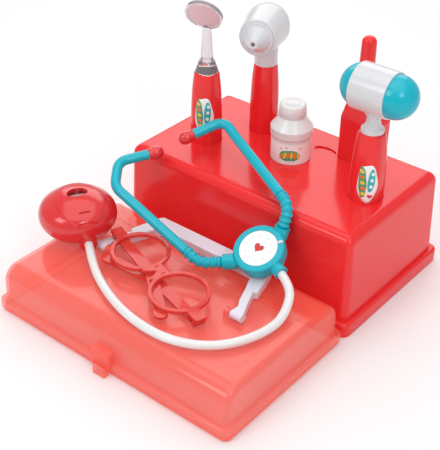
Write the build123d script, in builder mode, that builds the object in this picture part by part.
"""Toy doctor case, laid out open: a red case standing on its rim with tools in its top, a see-through
lid hinged to it, and a carrying handle, folded glasses and a stethoscope lying on the lid.

Frame: the origin is on the bottom of the case's rim at the middle of the hinged side. X runs along
the hinge, Y to the back of the case and Z up. The lid lies towards -Y. Lengths are in millimetres.
"""
from build123d import *
from math import atan, cos, degrees, pi, radians, sin, tan
import os

os.makedirs("parts", exist_ok=True)

# Case and lid: two rounded oblong shells whose rims meet when the case is shut
box_length = 270.0
box_depth = 165.0
rim_radius = 8.0
rim_overhang = 4.5
wall = 2.2
case_height = 100.0
case_rim_height = 14.0
case_draft = 2.3
case_top_radius = 9.5
case_corner_radius = 9.0
lid_height = 45.5
lid_rim_height = 12.5
lid_draft = 2.0
lid_long_radius = 16.0
lid_end_radius = 6.0

# Lap joint between the rims
skirt = 1.6
lap_height = 4.0
lap_clearance = 0.3
tongue = 1.7
rim_wall = skirt + lap_clearance + tongue

# Hinge on the two adjacent long rims
rim_gap = 2.0
hinge_z = lap_height / 2
hinge_y = -skirt / 2 - rim_gap / 2
knuckle_radius = 1.9
pin_radius = 1.0
pin_clearance = 0.05
knuckle_length = 14.0
knuckle_gap = 0.3
hinge_spacing = 160.0
notch_clearance = 0.4
hinge_relief = 0.7
corner_relief = 3.1

# Bead on the lid's top and latch boss at the middle of its free rim
bead_length = 232.0
bead_depth = 96.0
bead_width = 2.4
bead_height = 0.5
latch_width = 14.0
latch_reach = 6.5
latch_height = 11.5
latch_hood_width = 21.0
latch_hood_reach = 3.5
latch_hood_height = 25.0

# Carrying handle, a stepped U pivoted on two lugs
handle_thickness = 8.0
handle_lift = 1.0
handle_foot_inner = 73.0
handle_foot_outer = 84.5
peg_radius = 2.5
peg_length = 7.0
peg_clearance = 0.06
lug_thickness = 6.0
lug_gap = 0.5

# Glasses: the front leans a little, one end over the handle's leg
glasses_mid_x = -6.5
glasses_mid_y = -87.8
lens_outer = 27.3
lens_inner = 23.2
lens_spacing = 66.5
front_thickness = 3.4
end_block_x = 65.5
end_block_length = 16.0
end_block_width = 11.0
brow_y = 4.0
brow_width = 5.0
bridge_outline = [(-9.5, -11), (-4.5, 3), (4.5, 3), (9.5, -11), (6.5, -14), (0, -3), (-6.5, -14)]
temple_hinge_x = 68.5
temple_hinge_y = -3.0
temple_knuckle_radius = 2.0
temple_knuckle = 6.0
ear_thickness = 2.2
temple_thickness = 2.5
temple_width = 10.5
blade_setback = 4.5
temple_bend_x = 4.0
temple_bend_y = -6.0
temple_tip_radius = 6.3
blade_lap = 2.0
temple_tip_x = 46.0
temple_tip_y = -26.0
glasses_gap = 0.3
glasses_turn = -17.3
glasses_lean = 2.5
temple_pin_radius = 0.8
temple_pin_clearance = 0.05
seat_gap = 0.3

# Small roundings shared by several pieces
small_round = 0.8
edge_round = 1.2
rim_round = 3.0

# Stethoscope
hub_radius = 23.5
hub_thickness = 14.0
hub_tilt = 30.0
hub_x = 55.0
hub_y = -23.7
hub_z = 72.2
hub_split = -1.0
hub_base_inset = 0.7
hub_base_round = 1.5
hub_cover_round = 2.2
label_radius = 17.5
label_thickness = 0.3
label_recess = 0.6
label_margin = 0.4
tab_angle = 42.0
tab_length = 5.0
tab_width = 2.6
tab_height = 1.4
tab_inset = 3.4
collar_radius = 7.0
collar_root = 14.0
collar_length = 9.0
collar_angles = {"left": -134.0, "right": 79.0}
outlet_angle = -18.0
outlet_reach = 31.0
outlet_radius = 6.2
hose_seat = 20.0
tube_radius = 4.75
bellows_radius = 5.6
bellows_core = 4.4
rib_count = 6
rib_thickness = 2.2
bellows_reach = 17.0
bellows_bend = {"left": 20.0, "right": 15.0}
arm_bends = {"left": [17.0, 13.0], "right": [10.5, 10.5]}
side_paths = {
    "left": [
        (30.5, -45.2, 61.5),
        (13.0, -56.5, 58.5),
        (-93.7, -51.6, 92.5),
        (-107.9, -31.1, case_height + 4.5),
        (-93.0, -6.0, case_height + 7.0),
    ],
    "right": [
        (62.0, -1.5, 90.0),
        (64.0, 5.0, case_height + 9.0),
        (-29.5, 45.0, case_height + 28.0),
        (-49.0, 53.0, case_height + 34.0),
        (-64.0, 26.0, case_height + 25.5),
    ],
}
ear_tip_radius = 6.4
ear_tip_length = 15.0
ear_tip_round = 2.6
hose_radius = 4.0
hose_gap = 0.2
chest_radius = 36.5
chest_height = 48.0
chest_x = -113.4
chest_y = -81.5
chest_edge_radius = 17.0
chest_split = -3.0
chest_neck_radius = 8.2
chest_neck_length = 10.0
chest_neck_seat = 6.0
panel_rise = 1.2
panel_rear = [(-17, 0), (-13.5, 10), (-5, 18), (6, 21.7), (18, 20.5), (29, 14.5), (34, 9.5)]
panel_rear_tangents = ((0, 1), (1, -1.2))
window_x = 3.5
window_length = 12.5
window_width = 19.5
window_z = 20.5
window_thickness = 1.2
window_gap = 0.1
slit_x = 27.0
slit_length = 10.0
slit_width = 1.2
slit_z = 14.6

# Tools standing in sockets in the case's top
socket_depth = 15.0
socket_wall = 1.8
socket_clearance = 0.3
corner_share = 0.40
grip_round = 2.0
grip_waist_share = 0.45
grip_shoulder_share = 0.8
grip_waist_scale = 0.97
mirror_x, mirror_y = -80.0, 64.0
mirror_base, mirror_top, mirror_handle_z = 28.5, 22.0, case_height + 72.0
otoscope_x, otoscope_y = -50.0, 117.0
otoscope_base, otoscope_top, otoscope_handle_z = 26.5, 21.0, case_height + 71.0
hammer_x, hammer_y = 97.0, 76.0
hammer_base, hammer_top, hammer_handle_z = 30.0, 22.5, case_height + 66.0
thermometer_x, thermometer_y = 58.0, 130.0
thermometer_length, thermometer_depth, thermometer_radius = 42.0, 28.0, 6.0
bottle_x, bottle_y = 3.0, 90.0
bottle_radius = 19.0
recess_x, recess_y, recess_length, recess_width, recess_depth = 24.0, 119.0, 24.0, 13.0, 1.4

# Dental mirror's clear collar, stem and dish
mirror_collar_height = 11.0
mirror_collar_inset = 1.0
mirror_collar_top = 14.0
stem_base_radius = 6.2
stem_top_radius = 4.2
stem_knee_z = case_height + 113.0
stem_overlap = 0.5
stem_root_inset = 4.0
dish_radius = 17.6
dish_thickness = 4.2
dish_rim = 1.6
dish_recess = 1.4
dish_shift_x = 2.9
dish_shift_y = -8.0
dish_z = case_height + 131.5
dish_facing = (0.291, -0.817, -0.497)
mirror_thickness = 1.0
mirror_gap = 0.05

# Otoscope's bulb, ring and cone
head_turn = 20.5
head_z = case_height + 109.0
head_radius = 21.5
head_ring = 32.0
head_ring_radius = 18.0
head_line_angle = 80.0
otoscope_neck_radius = 11.2
nose_outline = [(0, 2.0), (0, 15.6), (2.0, 15.2), (2.4, 13.0), (13.5, 5.4), (15.0, 4.2), (15.0, 2.0)]

# Hammer's neck, barrel and domes
barrel_z = case_height + 105.0
barrel_radius = 21.0
barrel_length = 35.0
dome_radius = 19.5
dome_gap = 0.1
dome_seat = 2.0
right_dome_height = 21.5
left_dome_height = 16.5
neck_outline = [(0, 0), (10.3, 0), (10.3, 3), (7.8, 5), (6.3, 9.5), (6.3, 14), (8.6, 18), (8.6, 22), (0, 22)]

# Thermometer's shoulders and probe
shoulder_z = case_height + 43.0
probe_shift = -4.0
probe_z = case_height + 76.0
probe_top = case_height + 124.0
probe_radius = 7.7
probe_tip_radius = 6.8
probe_foot_length = 19.4
probe_foot_width = 17.4

# Bottle, its ring, label and cap
bottle_wall = 1.6
label_bottom = case_height + 0.4
label_top = case_height + 21.0
label_film = 0.2
ring_bottom = case_height + 26.0
ring_top = case_height + 35.0
ring_radius = 20.2
ring_slope = 2.0
ring_step = 1.5
neck_base_radius = 12.4
neck_radius = 10.6
cap_radius = 13.4
cap_bore = 10.9
cap_bottom = case_height + 45.0
cap_top = case_height + 56.5
cap_bevel = 1.8
cap_gap = 0.1
cap_roof = 2.7
mouth_z = case_height + 53.0

# Places that follow from the sizes above
case_mid_y = -skirt / 2 + box_depth / 2
lid_back_y = hinge_y - rim_gap / 2
lid_mid_y = lid_back_y - box_depth / 2
lid_front_y = lid_back_y - box_depth
handle_z = lid_height + handle_lift + handle_thickness / 2
handle_top = handle_z + handle_thickness / 2
socket_floor = case_height - socket_depth


def oblong(plane, length, depth, radius, height, taper=0.0):
    """A block with rounded upright corners, standing on a plane and leaning in by the taper."""
    with BuildPart() as block:
        with BuildSketch(plane):
            RectangleRounded(length, depth, radius)
        extrude(amount=height, taper=taper)
    return block.part


def case_body(inset, top, radius, bottom):
    """The drafted body of the case, its faces moved in by the inset, with a rounded top."""
    plane = Plane((0, case_mid_y, bottom))
    lean = (bottom - case_rim_height) * tan(radians(case_draft))
    shrink = 2 * (rim_overhang + inset + lean)
    corner = case_corner_radius - inset
    with BuildPart() as body:
        add(oblong(plane, box_length - shrink, box_depth - shrink, corner, top - bottom, case_draft))
        fillet(body.faces().sort_by(Axis.Z)[-1].edges(), radius)
    return body.part


def lid_body(inset, bottom):
    """The lid's body: one profile with broad rounded shoulders along X, and rounded ends."""
    top = lid_height - inset
    half_top = box_depth / 2 - rim_overhang - inset - (top - lid_rim_height) * tan(radians(lid_draft))
    half_bottom = half_top + (top - bottom) * tan(radians(lid_draft))
    half_length = box_length / 2 - rim_overhang - inset
    with BuildPart() as body:
        with BuildSketch(Plane((half_length, lid_mid_y, 0), x_dir=(0, 1, 0), z_dir=(1, 0, 0))) as profile:
            with BuildLine():
                Polyline(
                    (-half_bottom, bottom),
                    (half_bottom, bottom),
                    (half_top, top),
                    (-half_top, top),
                    close=True,
                )
            make_face()
            fillet(profile.vertices().group_by(Axis.Y)[-1], lid_long_radius - inset)
        extrude(amount=-2 * half_length, taper=0)
        ends = body.faces().filter_by(Axis.X)
        rounded = ends.edges() - body.faces().sort_by(Axis.Z)[0].edges()
        fillet(rounded, lid_end_radius - inset / 2)
    return body.part


def rounded_square(size):
    """A rounded square in the current sketch, its corners a fixed share of its size."""
    RectangleRounded(size, size, corner_share * size)


def tool_handle(x, y, base, top, top_z):
    """A grip that stands straight in its socket and narrows in a soft curve to a rounded top."""
    grip_waist_z = case_height + grip_waist_share * (top_z - case_height)
    grip_shoulder_z = case_height + grip_shoulder_share * (top_z - case_height)
    with BuildPart() as grip:
        with BuildSketch(Plane((x, y, socket_floor))):
            rounded_square(base)
        extrude(amount=case_height - socket_floor)
        with BuildSketch(Plane((x, y, case_height))):
            rounded_square(base)
        with BuildSketch(Plane((x, y, grip_waist_z))):
            rounded_square(grip_waist_scale * base)
        with BuildSketch(Plane((x, y, grip_shoulder_z))):
            rounded_square((base + top) / 2)
        with BuildSketch(Plane((x, y, top_z))):
            rounded_square(top)
        loft()
        fillet(grip.faces().sort_by(Axis.Z)[-1].edges(), grip_round)
    return grip.part


def socket_cup(x, y, length, depth, radius):
    """The wall of a socket, hanging under the case's top."""
    grow = socket_clearance + socket_wall
    bottom = socket_floor - socket_wall
    return oblong(
        Plane((x, y, bottom)),
        length + 2 * grow,
        depth + 2 * grow,
        radius + grow,
        case_height - wall / 2 - bottom,
    )


def socket_hole(x, y, length, depth, radius):
    """The hollow of a socket, from its floor out through the case's top."""
    return oblong(
        Plane((x, y, socket_floor)),
        length + 2 * socket_clearance,
        depth + 2 * socket_clearance,
        radius + socket_clearance,
        socket_depth + 1,
    )


sockets = [
    (mirror_x, mirror_y, mirror_base, mirror_base, corner_share * mirror_base),
    (otoscope_x, otoscope_y, otoscope_base, otoscope_base, corner_share * otoscope_base),
    (hammer_x, hammer_y, hammer_base, hammer_base, corner_share * hammer_base),
    (thermometer_x, thermometer_y, thermometer_length, thermometer_depth, thermometer_radius),
    (bottle_x, bottle_y, 2 * bottle_radius, 2 * bottle_radius, bottle_radius - 0.01),
]


# Hinge knuckles: one of the lid's between two of the case's, on each side
lid_knuckle_x = [-hinge_spacing / 2, hinge_spacing / 2]
step = knuckle_length + knuckle_gap
case_knuckle_x = [x + side * step for x in lid_knuckle_x for side in (-1, 1)]
pin_length = 3 * knuckle_length + 2 * knuckle_gap


def hinge_rod(x, radius, length):
    """A cylinder on the hinge axis, centred at x."""
    with BuildPart() as rod:
        with BuildSketch(Plane((x - length / 2, hinge_y, hinge_z), z_dir=(1, 0, 0))):
            Circle(radius)
        extrude(amount=length)
    return rod.part


def hinge_block(x, length, y0, y1, z0, z1):
    """A box beside the hinge axis, centred at x."""
    with BuildPart() as block:
        with BuildSketch(Plane((x, (y0 + y1) / 2, z0))):
            Rectangle(length, y1 - y0)
        extrude(amount=z1 - z0)
    return block.part


# Case shell
rim_plane = Plane((0, case_mid_y, 0))
with BuildPart() as case_shell:
    add(oblong(rim_plane, box_length, box_depth, rim_radius, case_rim_height))
    fillet(case_shell.faces().sort_by(Axis.Z)[-1].edges(), rim_round)
    add(case_body(0, case_height, case_top_radius, case_rim_height - 2))
    skirt_hollow = oblong(
        rim_plane, box_length - 2 * skirt, box_depth - 2 * skirt, rim_radius - skirt, lap_height + 0.2
    )
    rim_hollow = oblong(
        rim_plane,
        box_length - 2 * rim_wall,
        box_depth - 2 * rim_wall,
        rim_radius - rim_wall,
        case_rim_height - wall,
    )
    body_hollow = case_body(wall, case_height - wall, case_top_radius - wall, case_rim_height - wall)
    add(skirt_hollow, mode=Mode.SUBTRACT)
    add(rim_hollow, mode=Mode.SUBTRACT)
    add(body_hollow, mode=Mode.SUBTRACT)
    for socket in sockets:
        add(socket_cup(*socket))
    for socket in sockets:
        add(socket_hole(*socket), mode=Mode.SUBTRACT)
    with BuildSketch(Plane((recess_x, recess_y, case_height))):
        Ellipse(recess_length / 2, recess_width / 2)
    extrude(amount=-recess_depth, mode=Mode.SUBTRACT)
    for x in lid_knuckle_x:
        notch = hinge_block(
            x,
            knuckle_length + 2 * knuckle_gap,
            -skirt / 2 - 1,
            skirt / 2 + 0.01,
            -1,
            hinge_z + knuckle_radius + notch_clearance,
        )
        add(notch, mode=Mode.SUBTRACT)
    for x in case_knuckle_x:
        add(hinge_rod(x, knuckle_radius, knuckle_length))
    for x in lid_knuckle_x:
        add(hinge_rod(x, pin_radius + pin_clearance, pin_length + 1), mode=Mode.SUBTRACT)
case_shell.part.label = "case_shell"
export_step(case_shell.part, "parts/case_shell.step")

# Hinge pins
with BuildPart() as hinge_pins:
    for x in lid_knuckle_x:
        add(hinge_rod(x, pin_radius, pin_length))
hinge_pins.part.label = "hinge_pins"
export_step(hinge_pins.part, "parts/hinge_pins.step")

# Lid shell
lip_bottom = lap_height + 0.1
inner_step = skirt + lap_clearance
lug_outer = handle_foot_inner - lug_gap
lug_inner = lug_outer - lug_thickness
with BuildPart() as lid_shell:
    lip_plane = Plane((0, lid_mid_y, lip_bottom))
    add(oblong(lip_plane, box_length, box_depth, rim_radius, lid_rim_height - lip_bottom))
    fillet(lid_shell.faces().sort_by(Axis.Z)[-1].edges(), rim_round)
    tongue_block = oblong(
        Plane((0, lid_mid_y, 0)),
        box_length - 2 * inner_step,
        box_depth - 2 * inner_step,
        rim_radius - inner_step,
        lid_rim_height - wall,
    )
    add(tongue_block)
    add(lid_body(0, lid_rim_height - 2))
    rim_hollow = oblong(
        Plane((0, lid_mid_y, 0)),
        box_length - 2 * rim_wall,
        box_depth - 2 * rim_wall,
        rim_radius - rim_wall,
        lid_rim_height - wall,
    )
    add(rim_hollow, mode=Mode.SUBTRACT)
    add(lid_body(wall, lid_rim_height - wall), mode=Mode.SUBTRACT)
    tongue_back_y = lid_back_y - inner_step
    relief = hinge_block(
        0, box_length, tongue_back_y - hinge_relief, tongue_back_y + hinge_relief, -1, lip_bottom
    )
    add(relief, mode=Mode.SUBTRACT)
    for side in (-1, 1):
        corner_cut = hinge_block(
            side * (box_length - rim_radius) / 2,
            rim_radius,
            tongue_back_y - corner_relief,
            tongue_back_y + hinge_relief,
            -1,
            lip_bottom,
        )
        add(corner_cut, mode=Mode.SUBTRACT)
    with BuildSketch(Plane((0, lid_mid_y, lid_height))):
        RectangleRounded(bead_length, bead_depth, rim_radius)
        RectangleRounded(
            bead_length - 2 * bead_width,
            bead_depth - 2 * bead_width,
            rim_radius - bead_width,
            mode=Mode.SUBTRACT,
        )
    extrude(amount=bead_height, taper=20)
    for side in (-1, 1):
        lug_plane = Plane((side * (lug_inner + lug_outer) / 2, lid_mid_y, handle_z), z_dir=(1, 0, 0))
        with BuildSketch(lug_plane):
            Circle(handle_thickness / 2)
        extrude(amount=lug_thickness / 2, both=True)
        with BuildSketch(Plane((side * (lug_inner + lug_outer) / 2, lid_mid_y, lid_height - wall / 2))):
            Rectangle(lug_thickness, handle_thickness)
        extrude(amount=handle_z - lid_height + wall / 2)
        with BuildSketch(lug_plane):
            Circle(peg_radius + peg_clearance)
        extrude(amount=lug_thickness / 2 + 1, both=True, mode=Mode.SUBTRACT)
    for x in lid_knuckle_x:
        web = hinge_block(
            x,
            knuckle_length,
            tongue_back_y - (tongue + hinge_relief) / 2,
            hinge_y,
            hinge_z - knuckle_radius,
            hinge_z + knuckle_radius,
        )
        add(web)
        add(hinge_rod(x, knuckle_radius, knuckle_length))
        add(hinge_rod(x, pin_radius + pin_clearance, knuckle_length + 1), mode=Mode.SUBTRACT)
lid_shell.part.label = "lid_shell"
export_step(lid_shell.part, "parts/lid_shell.step")

# Latch: a block on the free rim with a hood above it
with BuildPart() as lid_latch:
    with BuildSketch(Plane((0, lid_front_y - latch_reach / 2, 0))):
        Rectangle(latch_width, latch_reach)
    extrude(amount=latch_height)
    hood_depth = latch_hood_reach + rim_overhang
    with BuildSketch(Plane((0, lid_front_y - latch_hood_reach + hood_depth / 2, lid_rim_height))):
        Rectangle(latch_hood_width, hood_depth)
    extrude(amount=latch_hood_height - lid_rim_height)
    with BuildSketch(Plane((0, lid_front_y - latch_hood_reach / 2, lid_rim_height - 4))):
        Rectangle(latch_hood_width, latch_hood_reach)
    extrude(amount=6)
    fillet(lid_latch.edges().filter_by(Axis.Z), 1.0)
    add(lid_shell.part, mode=Mode.SUBTRACT)
lid_latch.part.label = "lid_latch"
export_step(lid_latch.part, "parts/lid_latch.step")

# Carrying handle
handle_outline = [
    (0, -17.5),
    (63, -17.5),
    (66, -20.5),
    (70, -33.8),
    (75, -52.3),
    (71.5, -54.0),
    (77, -67.8),
    (82, -79.0),
    (handle_foot_outer, lid_mid_y),
    (handle_foot_inner, lid_mid_y),
    (handle_foot_inner, lid_mid_y + handle_thickness),
    (69, -70.8),
    (63.5, -55.8),
    (58.5, -44.5),
    (55.5, -36.5),
    (50.5, -33.3),
    (0, -33.3),
]
with BuildPart() as handle:
    with BuildSketch(Plane.XY.offset(handle_z - handle_thickness / 2)):
        with BuildLine():
            Polyline(*handle_outline, close=True)
        make_face()
        mirror(about=Plane.YZ)
    extrude(amount=handle_thickness)
    fillet(handle.faces().sort_by(Axis.Z)[-1].edges(), edge_round)
    for side in (-1, 1):
        with BuildSketch(Plane((side * handle_foot_inner, lid_mid_y, handle_z), z_dir=(side, 0, 0))):
            Circle(handle_thickness / 2)
        extrude(amount=handle_foot_outer - handle_foot_inner)
        with BuildSketch(Plane((side * handle_foot_inner, lid_mid_y, handle_z), z_dir=(-side, 0, 0))):
            Circle(peg_radius)
        extrude(amount=peg_length)
handle.part.label = "handle"
export_step(handle.part, "parts/handle.step")

# Glasses: a plane that leans down from the handle's leg to the lid
lean = radians(glasses_lean)
turn = radians(glasses_turn)
hinge_drop = front_thickness / 2 + glasses_gap + temple_knuckle_radius
left_end_z = handle_top + seat_gap + hinge_drop + temple_knuckle_radius
glasses_z = left_end_z - temple_hinge_x * sin(lean)
glasses_x = Vector(cos(turn) * cos(lean), sin(turn) * cos(lean), -sin(lean))
glasses_y = Vector(-sin(turn), cos(turn), 0)
glasses_normal = glasses_x.cross(glasses_y)
glasses_plane = Plane(Vector(glasses_mid_x, glasses_mid_y, glasses_z), x_dir=glasses_x, z_dir=glasses_normal)
front_under = glasses_plane.offset(-front_thickness / 2)
temple_hinge_z = {"left_temple": -hinge_drop, "right_temple": -hinge_drop - glasses_gap - temple_thickness}
temple_sides = (("left_temple", -1), ("right_temple", 1))
ear_offset = temple_knuckle / 2 + glasses_gap
ear_starts = (temple_hinge_y - ear_offset - ear_thickness, temple_hinge_y + ear_offset)


def across_glasses(side, z, y):
    """A plane across the glasses at one temple's hinge line, facing along the pin."""
    here = glasses_plane.from_local_coords(Vector(side * temple_hinge_x, y, z))
    return Plane(here, x_dir=glasses_x, z_dir=glasses_y)


with BuildPart() as glasses_front:
    with BuildSketch(front_under):
        with Locations((-lens_spacing / 2, 0), (lens_spacing / 2, 0)):
            Circle(lens_outer)
        with Locations((0, brow_y)):
            Rectangle(lens_spacing - 2 * lens_inner + brow_width, brow_width)
        with Locations((-lens_spacing / 2, 0), (lens_spacing / 2, 0)):
            Circle(lens_inner, mode=Mode.SUBTRACT)
        with BuildLine():
            Polyline(*bridge_outline, close=True)
        make_face()
    extrude(amount=front_thickness)
    fillet(glasses_front.faces().sort_by(Axis((0, 0, 0), tuple(glasses_normal)))[-1].edges(), small_round)
    with BuildSketch(front_under):
        with Locations((-end_block_x, temple_hinge_y), (end_block_x, temple_hinge_y)):
            RectangleRounded(end_block_length, end_block_width, small_round)
    extrude(amount=front_thickness - small_round / 2)
    for name, side in temple_sides:
        drop = temple_hinge_z[name]
        for ear_y in ear_starts:
            with BuildSketch(across_glasses(side, drop, ear_y)):
                Circle(temple_knuckle_radius)
                with Locations((0, (drop + front_thickness / 2) / 2)):
                    Rectangle(2 * temple_knuckle_radius, -front_thickness / 2 - drop)
            extrude(amount=ear_thickness)
        with BuildSketch(across_glasses(side, drop, temple_hinge_y - temple_knuckle)):
            Circle(temple_pin_radius + temple_pin_clearance)
        extrude(amount=2 * temple_knuckle, mode=Mode.SUBTRACT)
glasses_front.part.label = "glasses_front"
export_step(glasses_front.part, "parts/glasses_front.step")

# Temples: blades folded under the front, each with a knuckle on its hinge pin and a bent tip
for name, side in temple_sides:
    blade_plane = glasses_plane.offset(temple_hinge_z[name] + temple_knuckle_radius - temple_thickness)
    blade_start = (side * (temple_hinge_x - blade_setback), temple_hinge_y)
    blade_bend = (side * temple_bend_x, temple_bend_y)
    blade_tip = (-side * temple_tip_x, temple_tip_y)
    with BuildPart() as temple:
        with BuildSketch(blade_plane):
            with BuildLine():
                blade_line = Polyline(blade_start, blade_bend, blade_tip)
            trace(blade_line, temple_width)
            with Locations(blade_tip):
                Circle(temple_tip_radius)
            with Locations((side * (temple_hinge_x - blade_setback / 2 - blade_lap / 2), temple_hinge_y)):
                Rectangle(blade_setback + blade_lap, temple_knuckle)
        extrude(amount=temple_thickness)
        knuckle_start = temple_hinge_y - temple_knuckle / 2
        with BuildSketch(across_glasses(side, temple_hinge_z[name], knuckle_start)):
            Circle(temple_knuckle_radius)
        extrude(amount=temple_knuckle)
        with BuildSketch(across_glasses(side, temple_hinge_z[name], knuckle_start - 1)):
            Circle(temple_pin_radius + temple_pin_clearance)
        extrude(amount=temple_knuckle + 2, mode=Mode.SUBTRACT)
    temple.part.label = name
    export_step(temple.part, "parts/" + name + ".step")

# Temple hinge pins, each through a temple's knuckle and the two ears beside it
pin_half = ear_offset + ear_thickness
with BuildPart() as temple_pins:
    for name, side in temple_sides:
        with BuildSketch(across_glasses(side, temple_hinge_z[name], temple_hinge_y - pin_half)):
            Circle(temple_pin_radius)
        extrude(amount=2 * pin_half)
temple_pins.part.label = "temple_pins"
export_step(temple_pins.part, "parts/temple_pins.step")
for name, side in temple_sides:
    pivot = glasses_plane.from_local_coords(Vector(side * temple_hinge_x, temple_hinge_y, temple_hinge_z[name]))
    print(name, "pivot", [round(v, 3) for v in pivot])


def rod(start, end, radius):
    """A cylinder between two points."""
    run = Vector(*end) - Vector(*start)
    with BuildPart() as cylinder:
        with BuildSketch(Plane(Vector(*start), z_dir=run)):
            Circle(radius)
        extrude(amount=run.length)
    return cylinder.part


def tube(path, radius):
    """A round bar swept along a path."""
    with BuildPart() as bar:
        with BuildSketch(Plane(path @ 0, z_dir=path % 0)):
            Circle(radius)
        sweep(path=path)
    return bar.part


def point_towards(start, end, distance):
    """The point at a distance from the start, on the way to the end."""
    return tuple(Vector(*start) + (Vector(*end) - Vector(*start)).normalized() * distance)


# Stethoscope hub, tilted against the front of the case over the handle's corner
tilt = radians(hub_tilt)
hub_normal = Vector(0, -sin(tilt), cos(tilt))
hub_mid = Vector(hub_x, hub_y, hub_z)
hub_plane = Plane(hub_mid, x_dir=(1, 0, 0), z_dir=hub_normal)


def on_hub(radius, angle, height=0.0):
    """A point given by its radius and angle about the hub, and its height above the hub's middle."""
    across = radius * cos(radians(angle))
    along = radius * sin(radians(angle))
    return tuple(hub_mid + hub_plane.x_dir * across + hub_plane.y_dir * along + hub_normal * height)


outlet_mouth = on_hub(outlet_reach, outlet_angle)
hose_hole = rod(on_hub(hose_seat, outlet_angle), on_hub(outlet_reach + 1, outlet_angle), hose_radius)
hub_back = hub_plane.offset(-hub_thickness / 2)
hub_cut = hub_plane.offset(hub_split)
with BuildPart() as hub_base:
    with BuildSketch(hub_back):
        Circle(hub_radius - hub_base_inset)
    extrude(amount=hub_thickness / 2 + hub_split)
    fillet(hub_base.faces().sort_by(Axis((0, 0, 0), tuple(hub_normal)))[0].edges(), hub_base_round)
    for side in ("left", "right"):
        collar_end = side_paths[side][0]
        collar_start = point_towards(collar_end, side_paths[side][1], -collar_length)
        add(rod(on_hub(collar_root, collar_angles[side], hub_split), collar_start, collar_radius))
        with Locations(collar_start):
            Sphere(collar_radius)
    add(rod(on_hub(collar_root, outlet_angle), outlet_mouth, outlet_radius))
    add(hose_hole, mode=Mode.SUBTRACT)
    with BuildSketch(hub_cut):
        Circle(hub_radius)
    extrude(amount=hub_thickness, mode=Mode.SUBTRACT)
    for side in ("left", "right"):
        collar_end = side_paths[side][0]
        collar_start = point_towards(collar_end, side_paths[side][1], -collar_length)
        add(rod(collar_start, collar_end, collar_radius))
hub_base.part.label = "hub_base"
export_step(hub_base.part, "parts/hub_base.step")
tab_mid = Vector(*on_hub(hub_radius - tab_inset, tab_angle, hub_thickness / 2 - tab_height / 2))
with BuildPart() as hub_tab:
    with BuildSketch(Plane(tab_mid, x_dir=Vector(*on_hub(1, tab_angle)) - hub_mid, z_dir=hub_normal)):
        SlotOverall(tab_length, tab_width)
    extrude(amount=tab_height)
hub_tab.part.label = "hub_tab"
export_step(hub_tab.part, "parts/hub_tab.step")
with BuildPart() as hub_cover:
    with BuildSketch(hub_cut):
        Circle(hub_radius)
    extrude(amount=hub_thickness / 2 - hub_split)
    top_face = hub_cover.faces().sort_by(Axis((0, 0, 0), tuple(hub_normal)))[-1]
    fillet(top_face.edges(), hub_cover_round)
    with BuildSketch(hub_plane.offset(hub_thickness / 2)):
        Circle(label_radius + label_margin)
    extrude(amount=-label_recess, mode=Mode.SUBTRACT)
    add(hub_base.part, mode=Mode.SUBTRACT)
    add(hose_hole, mode=Mode.SUBTRACT)
    add(hub_tab.part, mode=Mode.SUBTRACT)
hub_cover.part.label = "hub_cover"
export_step(hub_cover.part, "parts/hub_cover.step")
with BuildPart() as hub_label:
    with BuildSketch(hub_plane.offset(hub_thickness / 2 - label_recess)):
        Circle(label_radius)
    extrude(amount=label_thickness)
hub_label.part.label = "hub_label"
export_step(hub_label.part, "parts/hub_label.step")

# Each side's path: through the bellows, up the arm, round the two bends to the ear tip
for side in ("left", "right"):
    points = side_paths[side]
    with BuildLine() as bellows_line:
        exit_point = point_towards(points[1], points[2], bellows_reach)
        FilletPolyline(points[0], points[1], exit_point, radius=bellows_bend[side])
    spine = bellows_line.wires()[0]
    with BuildPart() as bellows:
        add(tube(spine, bellows_core))
        for rib in range(rib_count):
            place = (rib + 0.9) / (rib_count + 1.1)
            middle = Vector(*(spine @ place))
            heading = Vector(*(spine % place))
            with BuildSketch(Plane(middle - heading * rib_thickness / 2, z_dir=heading)):
                Circle(bellows_radius)
            extrude(amount=rib_thickness)
    bellows.part.label = side + "_bellows"
    export_step(bellows.part, "parts/" + side + "_bellows.step")
    with BuildLine() as arm_line:
        FilletPolyline(exit_point, *points[2:], radius=arm_bends[side])
    arm_path = arm_line.wires()[0]
    arm_part = tube(arm_path, tube_radius)
    arm_part.label = side + "_arm"
    export_step(arm_part, "parts/" + side + "_arm.step")
    tip_plane = Plane(Vector(*(arm_path @ 1)), z_dir=Vector(*(arm_path % 1)))
    with BuildPart() as ear_tip:
        with BuildSketch(tip_plane):
            Circle(ear_tip_radius)
        extrude(amount=ear_tip_length)
        fillet(ear_tip.edges().filter_by(GeomType.CIRCLE), ear_tip_round)
    ear_tip.part.label = side + "_ear_tip"
    export_step(ear_tip.part, "parts/" + side + "_ear_tip.step")

# Hose: the free tube from the hub's outlet round the lid to the chest piece
hose_z = lid_height + bead_height + hose_radius + hose_gap
hose_points = [
    on_hub(hose_seat, outlet_angle),
    on_hub(47.0, outlet_angle),
    (109.5, -60.0, 51.5),
    (109.8, -84.0, hose_z),
    (100.0, -112.0, hose_z),
    (83.0, -132.0, hose_z),
    (57.0, -144.5, hose_z),
    (27.0, -146.3, hose_z),
    (-4.0, -140.8, hose_z),
    (-34.0, -129.3, hose_z),
    (-62.0, -114.5, hose_z + 1.5),
    (-83.5, -98.0, 57.0),
]


def hose_radii(points):
    """The largest easy bend at each inner point of a route."""
    radii = []
    for before, here, after in zip(points, points[1:], points[2:]):
        run_in = Vector(*here) - Vector(*before)
        run_out = Vector(*after) - Vector(*here)
        half_turn = radians(run_in.get_angle(run_out)) / 2
        radii.append(0.45 * min(run_in.length, run_out.length) / tan(half_turn))
    return radii


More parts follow.
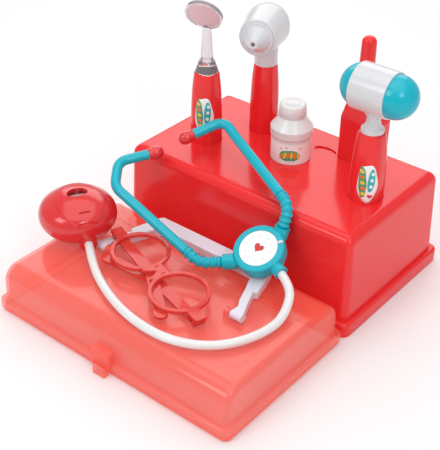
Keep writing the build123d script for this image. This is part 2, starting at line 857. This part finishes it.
bends = hose_radii(hose_points)
print("hose bend radii", [round(r, 1) for r in bends])
with BuildLine() as hose_line:
    FilletPolyline(*hose_points, radius=bends)
hose_path = hose_line.wires()[0]
hose_part = tube(hose_path, hose_radius)
swept_share = pi * hose_radius**2 * hose_path.length / hose_part.volume
print("hose length", round(hose_path.length, 1), "section x length / volume", round(swept_share, 4))
hose_part.label = "hose"
export_step(hose_part, "parts/hose.step")

# Chest piece: a pebble in two halves, with a raised panel, a window, a slit and the hose's neck
chest_z = lid_height + bead_height + seat_gap + chest_height / 2
chest_mid = Vector(chest_x, chest_y, chest_z)
neck_mouth = Vector(*hose_points[-1])
neck_axis = (Vector(*hose_points[-2]) - neck_mouth).normalized()
panel_turn = degrees(atan((neck_mouth.Y - chest_y) / (neck_mouth.X - chest_x)))


def pebble(grow):
    """A flattened ball of two crowns and a rounder edge, its surface moved out by a length."""
    half_height = chest_height / 2 + grow
    edge_radius = chest_edge_radius + grow
    edge_x = chest_radius - chest_edge_radius
    crown_radius = (edge_x**2 + half_height**2 - edge_radius**2) / (2 * (half_height - edge_radius))
    slope = atan((crown_radius - half_height) / edge_x)
    shoulder_x = edge_x + edge_radius * cos(slope)
    shoulder_y = edge_radius * sin(slope)
    with BuildPart() as ball:
        with BuildSketch(Plane(chest_mid, x_dir=(1, 0, 0), z_dir=(0, -1, 0))):
            with BuildLine():
                for end in (-1, 1):
                    RadiusArc((0, end * half_height), (shoulder_x, end * shoulder_y), end * crown_radius)
                RadiusArc((shoulder_x, shoulder_y), (shoulder_x, -shoulder_y), edge_radius)
                Line((0, -half_height), (0, half_height))
            make_face()
        revolve(axis=Axis(chest_mid, (0, 0, 1)))
    return ball.part


panel_plane = Plane(chest_mid, x_dir=(cos(radians(panel_turn)), sin(radians(panel_turn)), 0), z_dir=(0, 0, 1))
with BuildPart() as panel:
    with BuildSketch(panel_plane):
        with BuildLine():
            Spline(*panel_rear, tangents=panel_rear_tangents)
            Line(panel_rear[-1], (panel_rear[-1][0], 0))
            Line((panel_rear[-1][0], 0), panel_rear[0])
        make_face()
        mirror(about=Plane.XZ)
    extrude(amount=chest_height)
    add(pebble(panel_rise), mode=Mode.INTERSECT)
chest_ball = pebble(0)
split_plane = Plane(chest_mid + Vector(0, 0, chest_split))
window_plane = panel_plane.offset(window_z)
with BuildPart() as chest_cover:
    add(chest_ball)
    split(bisect_by=split_plane, keep=Keep.TOP)
    add(panel.part)
    with BuildSketch(window_plane):
        with Locations((window_x, 0)):
            Ellipse(window_length / 2, window_width / 2)
    extrude(amount=chest_height, mode=Mode.SUBTRACT)
    with BuildSketch(panel_plane.offset(slit_z)):
        with Locations((slit_x, 0)):
            Rectangle(slit_width, slit_length)
    extrude(amount=chest_height, mode=Mode.SUBTRACT)
chest_cover.part.label = "chest_cover"
export_step(chest_cover.part, "parts/chest_cover.step")
with BuildPart() as chest_base:
    add(chest_ball)
    split(bisect_by=split_plane, keep=Keep.BOTTOM)
    with BuildSketch(Plane(neck_mouth, z_dir=-neck_axis)):
        Circle(chest_neck_radius)
    extrude(amount=chest_neck_length)
    with BuildSketch(Plane(neck_mouth, z_dir=-neck_axis)):
        Circle(hose_radius)
    extrude(amount=chest_neck_seat, mode=Mode.SUBTRACT)
chest_base.part.label = "chest_base"
export_step(chest_base.part, "parts/chest_base.step")
with BuildPart() as chest_window:
    with BuildSketch(window_plane):
        with Locations((window_x, 0)):
            Ellipse(window_length / 2 - window_gap, window_width / 2 - window_gap)
    extrude(amount=window_thickness)
chest_window.part.label = "chest_window"
export_step(chest_window.part, "parts/chest_window.step")

# Tool handles
for name, size in (
    ("mirror_handle", (mirror_x, mirror_y, mirror_base, mirror_top, mirror_handle_z)),
    ("otoscope_handle", (otoscope_x, otoscope_y, otoscope_base, otoscope_top, otoscope_handle_z)),
    ("hammer_handle", (hammer_x, hammer_y, hammer_base, hammer_top, hammer_handle_z)),
):
    grip_part = tool_handle(*size)
    grip_part.label = name
    export_step(grip_part, "parts/" + name + ".step")

# Dental mirror: clear collar and stem, and a dish that leans forward over the front
mirror_stem_z = mirror_handle_z + mirror_collar_height
dish_mid = Vector(mirror_x + dish_shift_x, mirror_y + dish_shift_y, dish_z)
dish_normal = Vector(*dish_facing)
dish_plane = Plane(dish_mid, z_dir=dish_normal)
dish_rise = dish_normal.cross(Vector(0, 0, 1)).cross(dish_normal).normalized()
dish_root = dish_mid - dish_rise * (dish_radius - stem_root_inset) - dish_normal * (dish_thickness / 2)
with BuildPart() as mirror_stem:
    with BuildSketch(Plane((mirror_x, mirror_y, mirror_handle_z))):
        rounded_square(mirror_top - mirror_collar_inset)
    with BuildSketch(Plane((mirror_x, mirror_y, mirror_stem_z))):
        rounded_square(mirror_collar_top)
    loft()
    with BuildSketch(Plane((mirror_x, mirror_y, mirror_stem_z - stem_overlap))):
        Circle(stem_base_radius)
    with BuildSketch(Plane((mirror_x, mirror_y, stem_knee_z))):
        Circle(stem_top_radius)
    loft()
    add(rod((mirror_x, mirror_y, stem_knee_z - stem_overlap), tuple(dish_root), stem_top_radius - 0.1))
    with BuildSketch(dish_plane.offset(-dish_thickness / 2)):
        Circle(dish_radius)
    extrude(amount=dish_thickness)
    with BuildSketch(dish_plane.offset(dish_thickness / 2)):
        Circle(dish_radius - dish_rim)
    extrude(amount=-dish_recess, mode=Mode.SUBTRACT)
mirror_stem.part.label = "mirror_stem"
export_step(mirror_stem.part, "parts/mirror_stem.step")
with BuildPart() as mirror_glass:
    with BuildSketch(dish_plane.offset(dish_thickness / 2 - dish_recess)):
        Circle(dish_radius - dish_rim - mirror_gap)
    extrude(amount=mirror_thickness)
mirror_glass.part.label = "mirror_glass"
export_step(mirror_glass.part, "parts/mirror_glass.step")

# Otoscope: a bulb above the handle that reaches forward to a ring and a cone
aim = Vector(sin(radians(head_turn)), -cos(radians(head_turn)), 0)
head_mid = Vector(otoscope_x, otoscope_y, head_z)
head_section = Plane(head_mid, x_dir=aim, z_dir=aim.cross(Vector(0, 0, 1)))
head_line_x = head_radius * cos(radians(head_line_angle))
head_line_y = head_radius * sin(radians(head_line_angle))
with BuildPart() as otoscope_head:
    with BuildSketch(head_section):
        with BuildLine():
            CenterArc((0, 0), head_radius, head_line_angle, 180 - head_line_angle)
            Line((head_line_x, head_line_y), (head_ring, head_ring_radius))
            Line((head_ring, head_ring_radius), (head_ring, 0))
            Line((head_ring, 0), (-head_radius, 0))
        make_face()
    revolve(axis=Axis(head_mid, aim))
    fillet(otoscope_head.faces().filter_by(GeomType.PLANE).edges(), edge_round)
    with BuildSketch(Plane((otoscope_x, otoscope_y, otoscope_handle_z))):
        Circle(otoscope_neck_radius)
    extrude(until=Until.NEXT)
otoscope_head.part.label = "otoscope_head"
export_step(otoscope_head.part, "parts/otoscope_head.step")
with BuildPart() as otoscope_nose:
    with BuildSketch(head_section):
        with BuildLine():
            Polyline(*[(head_ring + along, out) for along, out in nose_outline], close=True)
        make_face()
    revolve(axis=Axis(head_mid, aim))
otoscope_nose.part.label = "otoscope_nose"
export_step(otoscope_nose.part, "parts/otoscope_nose.step")

# Hammer: neck with a flange, a barrel across it and a dome in each end
left_end = (hammer_x - barrel_length / 2, hammer_y, barrel_z)
right_end = (hammer_x + barrel_length / 2, hammer_y, barrel_z)
with BuildPart() as hammer_neck:
    with BuildSketch(Plane((hammer_x, hammer_y, 0), x_dir=(1, 0, 0), z_dir=(0, -1, 0))):
        with BuildLine():
            Polyline(*[(out, hammer_handle_z + up) for out, up in neck_outline], close=True)
        make_face()
    revolve(axis=Axis((hammer_x, hammer_y, 0), (0, 0, 1)))
    add(rod(left_end, right_end, barrel_radius), mode=Mode.SUBTRACT)
hammer_neck.part.label = "hammer_neck"
export_step(hammer_neck.part, "parts/hammer_neck.step")
with BuildPart() as hammer_barrel:
    add(rod(left_end, right_end, barrel_radius))
    fillet(hammer_barrel.edges().filter_by(GeomType.CIRCLE), small_round)
    for end, other in ((left_end, right_end), (right_end, left_end)):
        add(rod(end, point_towards(end, other, dome_seat), dome_radius + dome_gap), mode=Mode.SUBTRACT)
hammer_barrel.part.label = "hammer_barrel"
export_step(hammer_barrel.part, "parts/hammer_barrel.step")
for name, side, height in (("left_dome", -1, left_dome_height), ("right_dome", 1, right_dome_height)):
    seat_x = hammer_x + side * (barrel_length / 2 - dome_seat)
    straight = max(0.0, height - dome_radius)
    rise = height - straight
    crown = (dome_seat + height, 0)
    crown_edge = (dome_seat + straight, dome_radius)
    crown_radius = (dome_radius**2 + rise**2) / (2 * rise)
    with BuildPart() as dome:
        with BuildSketch(Plane((seat_x, hammer_y, barrel_z), x_dir=(side, 0, 0), z_dir=(0, side, 0))):
            with BuildLine():
                Polyline(crown, (0, 0), (0, dome_radius), crown_edge)
                RadiusArc(crown_edge, crown, crown_radius)
            make_face()
        revolve(axis=Axis((seat_x, hammer_y, barrel_z), (1, 0, 0)))
    dome.part.label = "hammer_" + name
    export_step(dome.part, "parts/hammer_" + name + ".step")

# Thermometer: a flat body with sloping shoulders and a rounded probe
probe_x = thermometer_x + probe_shift
with BuildPart() as thermometer_body:
    with BuildSketch(Plane((thermometer_x, thermometer_y, socket_floor))):
        RectangleRounded(thermometer_length, thermometer_depth, thermometer_radius)
    extrude(amount=shoulder_z - socket_floor)
    with BuildSketch(Plane((thermometer_x, thermometer_y, shoulder_z))):
        RectangleRounded(thermometer_length, thermometer_depth, thermometer_radius)
    with BuildSketch(Plane((probe_x, thermometer_y, probe_z))):
        RectangleRounded(probe_foot_length, probe_foot_width, probe_radius)
    loft()
thermometer_body.part.label = "thermometer_body"
export_step(thermometer_body.part, "parts/thermometer_body.step")
with BuildPart() as thermometer_probe:
    with BuildSketch(Plane((probe_x, thermometer_y, probe_z))):
        Circle(probe_radius)
    with BuildSketch(Plane((probe_x, thermometer_y, probe_top))):
        Circle(probe_tip_radius)
    loft()
    fillet(thermometer_probe.faces().sort_by(Axis.Z)[-1].edges(), probe_tip_radius - 0.6)
thermometer_probe.part.label = "thermometer_probe"
export_step(thermometer_probe.part, "parts/thermometer_probe.step")

# Medicine bottle, its label and cap
shoulder_radius = ring_radius - ring_step
bottle_line = [
    (0, socket_floor),
    (bottle_radius, socket_floor),
    (bottle_radius, ring_bottom - ring_slope),
    (ring_radius, ring_bottom),
    (ring_radius, ring_top - ring_slope),
    (shoulder_radius, ring_top),
    (neck_base_radius, cap_bottom - bottle_wall),
    (neck_base_radius, cap_bottom),
    (neck_radius, cap_bottom),
    (neck_radius, mouth_z),
    (neck_radius - bottle_wall, mouth_z),
    (neck_radius - bottle_wall, cap_bottom - 2 * bottle_wall),
    (shoulder_radius - bottle_wall, ring_top - bottle_wall),
    (ring_radius - bottle_wall, ring_top - ring_slope - bottle_wall),
    (ring_radius - bottle_wall, ring_bottom + bottle_wall),
    (bottle_radius - bottle_wall, ring_bottom - bottle_wall),
    (bottle_radius - bottle_wall, socket_floor + bottle_wall),
    (0, socket_floor + bottle_wall),
]
bottle_section = Plane((bottle_x, bottle_y, 0), x_dir=(1, 0, 0), z_dir=(0, -1, 0))
bottle_axis = Axis((bottle_x, bottle_y, 0), (0, 0, 1))
with BuildPart() as bottle:
    with BuildSketch(bottle_section):
        with BuildLine():
            Polyline(*bottle_line, close=True)
        make_face()
    revolve(axis=bottle_axis)
bottle.part.label = "bottle"
export_step(bottle.part, "parts/bottle.step")
with BuildPart() as bottle_label:
    with BuildSketch(Plane((bottle_x, bottle_y, label_bottom))):
        Circle(bottle_radius + label_film)
        Circle(bottle_radius, mode=Mode.SUBTRACT)
    extrude(amount=label_top - label_bottom)
bottle_label.part.label = "bottle_label"
export_step(bottle_label.part, "parts/bottle_label.step")
with BuildPart() as bottle_cap:
    with BuildSketch(bottle_section):
        with BuildLine():
            Polyline(
                (0, cap_top - cap_roof),
                (cap_bore, cap_top - cap_roof),
                (cap_bore, cap_bottom + cap_gap),
                (cap_radius, cap_bottom + cap_gap),
                (cap_radius, cap_top - cap_bevel),
                (cap_radius - cap_bevel, cap_top),
                (0, cap_top),
                close=True,
            )
        make_face()
    revolve(axis=bottle_axis)
bottle_cap.part.label = "bottle_cap"
export_step(bottle_cap.part, "parts/bottle_cap.step")
